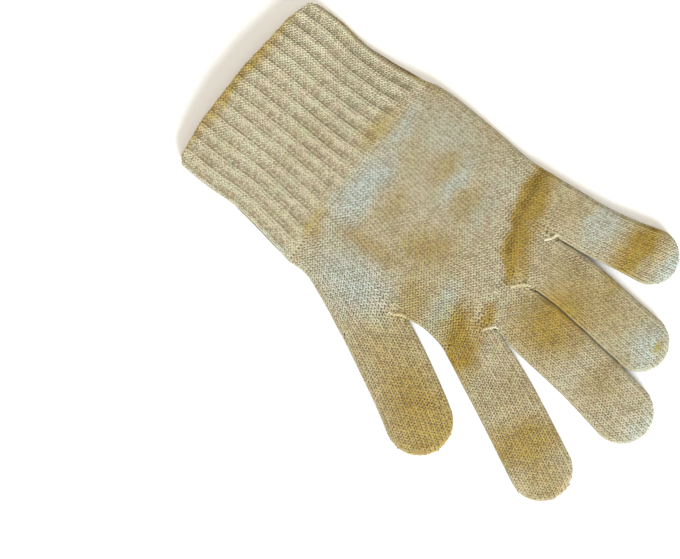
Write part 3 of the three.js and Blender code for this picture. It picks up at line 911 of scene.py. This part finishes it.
# The second colour is the gold of painted shade, the third the cool blue of painted light; the first is the
# wool's own broad mottling.
DULL, PAINTED_SHADE_GOLD, PAINTED_LIGHT_BLUE = (0.96, 0.89, 0.74, 1), (0.78, 0.592, 0.10, 1), (0.99, 1.21, 1.68, 1)
ROSY, GREENISH = (1.02, 0.985, 1.0, 1), (0.98, 1.01, 0.985, 1)
PLY_PALE, PLY_DARK = 0.725, 1.485  # sums of the marl's terms at which the yarn is all pale or all dark


def tone_and_painted_light_group():
    """Broad mottling and a faint change of hue of the wool, then patches of painted shade (gold) and painted
    light (pale), over any colour.
    """
    group, given, result = new_group(
        "wool tone with painted shade and light", "ShaderNodeTree",
        [("Place", "Vector", None), ("Colour", "Color", (0.7, 0.6, 0.4, 1))], [("Colour", "Color")])
    place = given["Place"]
    broad = ramp(group, noise(group, place, 55.0), 0.35, 0.65)
    colour = mixed(group, maths(group, "MULTIPLY", broad, 0.32), given["Colour"], DULL, "MULTIPLY")
    hue = mixed(group, ramp(group, noise(group, place, 210.0, 1.0), 0.35, 0.65), ROSY, GREENISH)
    colour = mixed(group, 1.0, colour, hue, "MULTIPLY")
    wander = node(group, "ShaderNodeTexNoise", {"Scale": 90.0, "Vector": place}).outputs["Color"]
    strayed = node(group, "ShaderNodeVectorMath", {
        0: wander, 1: (STRAY * MM, STRAY * MM, 0.0), 2: place}, operation="MULTIPLY_ADD").outputs[0]
    shade_and_light_sums = {"gold": 0.0, "pale": 0.0}
    # Each gold patch adds painted shade and each pale patch adds painted light.
    for x, y, long, wide, turn, amount in PAINTED_SHADE_AND_LIGHT:
        patch = node(group, "ShaderNodeMapping", {
            "Vector": strayed, "Rotation": (0, 0, math.radians(turn)),
            "Location": ((x + STRAY / 2) * MM, (y + STRAY / 2) * MM, PATCH_HEIGHT * MM),
            "Scale": (long * MM, wide * MM, PATCH_DEPTH * MM)}, vector_type="TEXTURE").outputs[0]
        away = node(group, "ShaderNodeVectorMath", {0: patch}, operation="LENGTH").outputs["Value"]
        kind = "gold" if amount > 0 else "pale"
        shade_and_light_sums[kind] = maths(group, "ADD", shade_and_light_sums[kind], ramp(group, away, PATCH_FROM, PATCH_FULL, abs(amount)))
    # Painted shade in gold, then painted light in pale blue, over the wool's colour.
    colour = mixed(group, shade_and_light_sums["gold"], colour, PAINTED_SHADE_GOLD, "MULTIPLY")
    feed(group, result["Colour"], mixed(group, shade_and_light_sums["pale"], colour, PAINTED_LIGHT_BLUE, "MULTIPLY"))
    return group


def marl_group():
    """The marl of the yarn: pale and darker plies that turn round each other, with stray fibres. Painted shade
    darkens each leg of a stitch towards its tucked-in ends, and one leg of each stitch is painted darker and
    the other paler, as shade and light from one side."""
    group, given, result = new_group("marled yarn", "ShaderNodeTree", [
        ("Place", "Vector", None), ("Leg place", "Vector", None), ("Shade", "Float", 0.5),
        ("Side", "Float", 0.0),
        ("Pale ply", "Color", (0.80, 0.72, 0.52, 1)), ("Dark ply", "Color", (0.50, 0.38, 0.22, 1)),
        ("Fleck", "Color", (0.32, 0.24, 0.18, 1)),
    ], [("Colour", "Color"), ("Height", "Float")])
    place, shade = given["Place"], given["Shade"]
    leg = node(group, "ShaderNodeSeparateXYZ", {0: given["Leg place"]}).outputs
    wave = maths(group, "SINE", weighted_sum(group, [(leg["Z"], 4.2), (leg["X"], 2.6), (shade, 6.28)]))
    # Painted shade: darker towards both ends of each leg, where it is tucked in.
    tucked = maths(group, "MULTIPLY", leg["Z"], leg["Z"])
    # The side term paints shade on one leg of each stitch and light on the other.
    ply = weighted_sum(group, [
        (wave, 0.26), (noise(group, place, 900.0), 1.1), (shade, 0.55), (given["Side"], 0.18), (tucked, 0.85)])
    colour = mixed(group, ramp(group, ply, PLY_PALE, PLY_DARK), given["Pale ply"], given["Dark ply"])
    fleck = ramp(group, noise(group, place, 1300.0, 1.0), 0.58, 0.68, 0.7)
    feed(group, result["Colour"], mixed(group, fleck, colour, given["Fleck"]))
    fibres = noise(group, place, 5200.0, 3.0, 0.7)
    feed(group, result["Height"], maths(group, "MULTIPLY_ADD", wave, 0.5, fibres))
    return group


wool_tone_and_painted_light = tone_and_painted_light_group()
marled_yarn = marl_group()


def wool_material(name, colour_and_height, strength, distance, finish):
    """Wool under the uneven tone and the patches of painted shade and painted light, with a bump. finish is set
    on the shader's own sockets.
    """
    material = bpy.data.materials.new(name)
    material.use_nodes = True
    tree = material.node_tree
    place = node(tree, "ShaderNodeTexCoord").outputs["Object"]
    colour, height = colour_and_height(tree, place)
    # The wool's mottling and hue, and the painted shade and light patches.
    tone = node(tree, "ShaderNodeGroup", node_tree=wool_tone_and_painted_light)
    feed(tree, tone.inputs["Place"], place)
    feed(tree, tone.inputs["Colour"], colour)
    bump = node(tree, "ShaderNodeBump", {"Strength": strength, "Distance": distance, "Height": height})
    shader = tree.nodes["Principled BSDF"].inputs
    for label, value in {"Base Color": tone.outputs["Colour"], "Normal": bump.outputs[0], **finish}.items():
        feed(tree, shader[label], value)
    return material


def yarn_material(name, pale, dark, fleck):
    def marl(tree, place):
        leg, shade, side = (node(tree, "ShaderNodeAttribute", attribute_name=label).outputs
                            for label in ("leg_place", "stitch_shade", "leg_side"))
        yarn = node(tree, "ShaderNodeGroup", node_tree=marled_yarn)
        for label, value in {
                "Place": place, "Leg place": leg["Vector"], "Shade": shade["Fac"], "Side": side["Fac"],
                "Pale ply": pale, "Dark ply": dark, "Fleck": fleck}.items():
            feed(tree, yarn.inputs[label], value)
        return yarn.outputs["Colour"], yarn.outputs["Height"]

    return wool_material(name, marl, 0.5, 0.00012, {
        "Roughness": 0.88, "Specular IOR Level": 0.25, "Sheen Weight": 0.25, "Sheen Roughness": 0.5})


def backing_material(name, light, dark):
    """The fabric behind the stitches, seen in the gaps and inside the cuff, darker than the yarn as painted
    shade.
    """
    def mottled(tree, place):
        mottle = noise(tree, place, 700.0, 3.0)
        return mixed(tree, ramp(tree, mottle, 0.3, 0.7), light, dark), mottle

    return wool_material(name, mottled, 0.8, 0.0004, {"Roughness": 0.95, "Specular IOR Level": 0.15})


knit_yarn = yarn_material(
    "knitted_wool_yarn", (0.44, 0.405, 0.272, 1), (0.25, 0.195, 0.10, 1), (0.15, 0.11, 0.068, 1))
rib_yarn = yarn_material(
    "ribbed_wool_yarn", (0.50, 0.472, 0.333, 1), (0.26, 0.214, 0.124, 1), (0.17, 0.125, 0.09, 1))
closing_yarn = yarn_material(
    "closing_wool_yarn", (0.56, 0.54, 0.40, 1), (0.42, 0.385, 0.26, 1), (0.32, 0.26, 0.18, 1))
# Darker than the yarn: painted shade in the gaps between stitches and inside the cuff.
wool_backing_painted_shade = backing_material("wool_backing_painted_shade", (0.26, 0.205, 0.11, 1), (0.156, 0.123, 0.066, 1))


# Pieces

def finish_piece(piece, nodes=()):
    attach(piece, "root")
    if nodes:
        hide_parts(*nodes)


def glove_knitting():
    """The stitches of the hand, its top and underside apart, and of each digit."""
    place, out, along, size = surface_stitches()
    owners, under = piece_at(place[:, :2]), out[:, 2] < 0
    groups = [("hand_top", (owners == 0) & ~under), ("hand_underside", (owners == 0) & under)]
    groups += [(name, owners == owner) for owner, name in enumerate(piece_names) if owner]
    for label, mine in groups:
        shape = HAND_STITCH if label.startswith("hand") else DIGIT_STITCH
        yield knitted(label + "_stitches", place[mine], out[mine], along[mine], size[mine], knit_yarn,
                      proud=SUNK, shape=shape)


def cuff_courses(reach):
    """The cuff's stitches at shares of its length: places, ways out, steps to the next one, rib wave."""
    around = (np.arange(CUFF_STITCHES) + 0.5) / CUFF_STITCHES
    spot, out = cuff_places(reach[:, None], around[None])
    return spot, out, (np.roll(spot, -1, 1) - np.roll(spot, 1, 1)) / 2, rib_wave(around)


def cuff_stitches():
    reach = (np.arange(CUFF_COURSES) + 0.4) / CUFF_COURSES
    spot, out, beside, ribs = cuff_courses(reach)
    step = np.gradient(spot, axis=0)
    normal = np.cross(beside, unit(step))
    normal = unit(normal * np.sign((normal * out).sum(-1, keepdims=True)))
    size = np.stack([np.linalg.norm(beside, axis=-1), np.linalg.norm(step, axis=-1)], -1)
    # Painted shade in the grooves between the ribs and painted light on their backs, fading out towards the
    # wrist.
    hold = smooth_step((1 - reach) / 0.12)[:, None]
    deeper = hold * (0.85 * (0.5 - 0.5 * ribs) - 0.3)
    return knitted("cuff_stitches", spot, normal, unit(step), size, rib_yarn, proud=SUNK, deeper=deeper,
                   shape=RIB_STITCH)


def hem_edge():
    """The bound-off edge that turns over the hem, and the first courses inside the mouth."""
    reach = np.concatenate([np.zeros(2), (np.arange(MOUTH_COURSES) + 0.6) / CUFF_COURSES])
    spot, out, beside, ribs = cuff_courses(reach)
    inward = np.array([0.0, 1.0, 0.0])
    inner = SKIN_DEPTH + WALL
    depth = np.array([SKIN_DEPTH + 0.25, inner - 0.15] + [inner] * MOUTH_COURSES)
    spot = spot - out * depth[:, None, None]
    spot[:2] -= inward * np.array([0.15, 0.1])[:, None, None]
    facing = -out
    facing[0] = out[0] * 0.5 - inward
    facing[1] = -out[1] * 0.5 - inward
    facing = unit(facing)
    kind = np.broadcast_to(ribs > 0, spot.shape[:2]).astype(int)
    kind[:2] = 1
    long = np.full(spot.shape[:2], COURSE)
    long[:2] = 1.7
    size = np.stack([np.linalg.norm(beside, axis=-1) * 1.05, long], -1)
    return knitted("hem_edge", spot, facing, np.cross(facing, unit(beside)), size, rib_yarn, kind=kind)


def closing_stitches(name, path, turns):
    """Overcast turns of yarn that draw a fork together."""
    line = curve_through(path, 0.2)
    run = run_of(line)
    at = np.linspace(0.3, run[-1] - 0.2, turns)
    ahead = unit(points_at(at, run, np.gradient(line, axis=0)))
    across = np.stack([-ahead[:, 1], ahead[:, 0]], 1)
    lean = np.where(np.arange(turns) % 2, STEEP_TURN, FLAT_TURN)[:, None]
    grain = np.column_stack([ahead * np.cos(lean) + across * np.sin(lean), np.zeros(turns)])
    place, out = lifted(points_at(at, run, line), np.zeros(turns, bool))
    size = np.tile(CLOSING_TURN, (turns, 1))
    return knitted(name, place, out, np.cross(out, levelled(grain, out)), size, closing_yarn, kind=1)


finish_piece(cuff_wall(), ["cuff"])
for owner, name in enumerate(piece_names):
    finish_piece(glove_wall(owner), [name])
for piece in glove_knitting():
    finish_piece(piece)
finish_piece(cuff_stitches())
finish_piece(hem_edge())
for closing in CLOSINGS:
    finish_piece(closing_stitches(*closing))


# Floor, light, camera

# Lights: name, place, size, power, colour
LIGHTS = [
    ("window", (1.52, 3.07, 2.4), 2.2, 316, (0.93, 0.965, 1.0)),
    ("warm_side", (-0.35, -1.3, 0.8), 1.0, 14, (1.0, 0.86, 0.62)),
    ("overhead", (0.0, 0.0, 2.0), 1.6, 13, (1.0, 0.98, 0.94)),
]
LIT_SPOT = (0.02, 0.01, 0.0)
ROOM_LIGHT = 0.32
CAMERA_X, CAMERA_Y, CAMERA_HEIGHT = 0.0474, -0.0139, 0.9  # the height is over the middle of the glove
GLOVE_MIDDLE = 0.006
PICTURE_WIDTH, SENSOR = 0.3033, 36  # what the picture spans at that height, and the sensor in millimetres
PICTURE_RIGHT, PICTURE_UP = (-0.616, 0.788, 0), (-0.788, -0.616, 0)


def pale_floor():
    bpy.ops.mesh.primitive_plane_add(size=6)
    floor = bpy.context.object
    floor.name = "floor"
    material = bpy.data.materials.new("pale_floor")
    material.use_nodes = True
    shader = material.node_tree.nodes["Principled BSDF"]
    shader.inputs["Base Color"].default_value = (0.86, 0.86, 0.86, 1)
    shader.inputs["Roughness"].default_value = 0.9
    floor.data.materials.append(material)


def soft_light(name, spot, size, power, colour):
    data = bpy.data.lights.new(name, "AREA")
    data.shape = "DISK"
    data.size = size
    data.energy = power
    data.color = colour
    light = bpy.data.objects.new(name, data)
    light.location = spot
    light.rotation_euler = (Vector(LIT_SPOT) - Vector(spot)).to_track_quat("-Z", "Y").to_euler()
    bpy.context.scene.collection.objects.link(light)


def room_light():
    world = bpy.data.worlds.new("studio")
    world.use_nodes = True
    background = world.node_tree.nodes["Background"].inputs
    background["Color"].default_value = (1, 1, 1, 1)
    background["Strength"].default_value = ROOM_LIGHT
    bpy.context.scene.world = world


def camera_above():
    data = bpy.data.cameras.new("camera")
    data.sensor_width = SENSOR
    data.lens = SENSOR * CAMERA_HEIGHT / PICTURE_WIDTH
    camera = bpy.data.objects.new("camera", data)
    axes = Matrix((Vector(PICTURE_RIGHT).normalized(), Vector(PICTURE_UP).normalized(), (0, 0, 1)))
    spot = Matrix.Translation((CAMERA_X, CAMERA_Y, CAMERA_HEIGHT + GLOVE_MIDDLE))
    camera.matrix_world = spot @ axes.transposed().to_4x4()
    bpy.context.scene.collection.objects.link(camera)
    bpy.context.scene.camera = camera


pale_floor()
for light in LIGHTS:
    soft_light(*light)
room_light()
bpy.context.scene.view_settings.view_transform = "Standard"
camera_above()

bpy.context.view_layer.update()
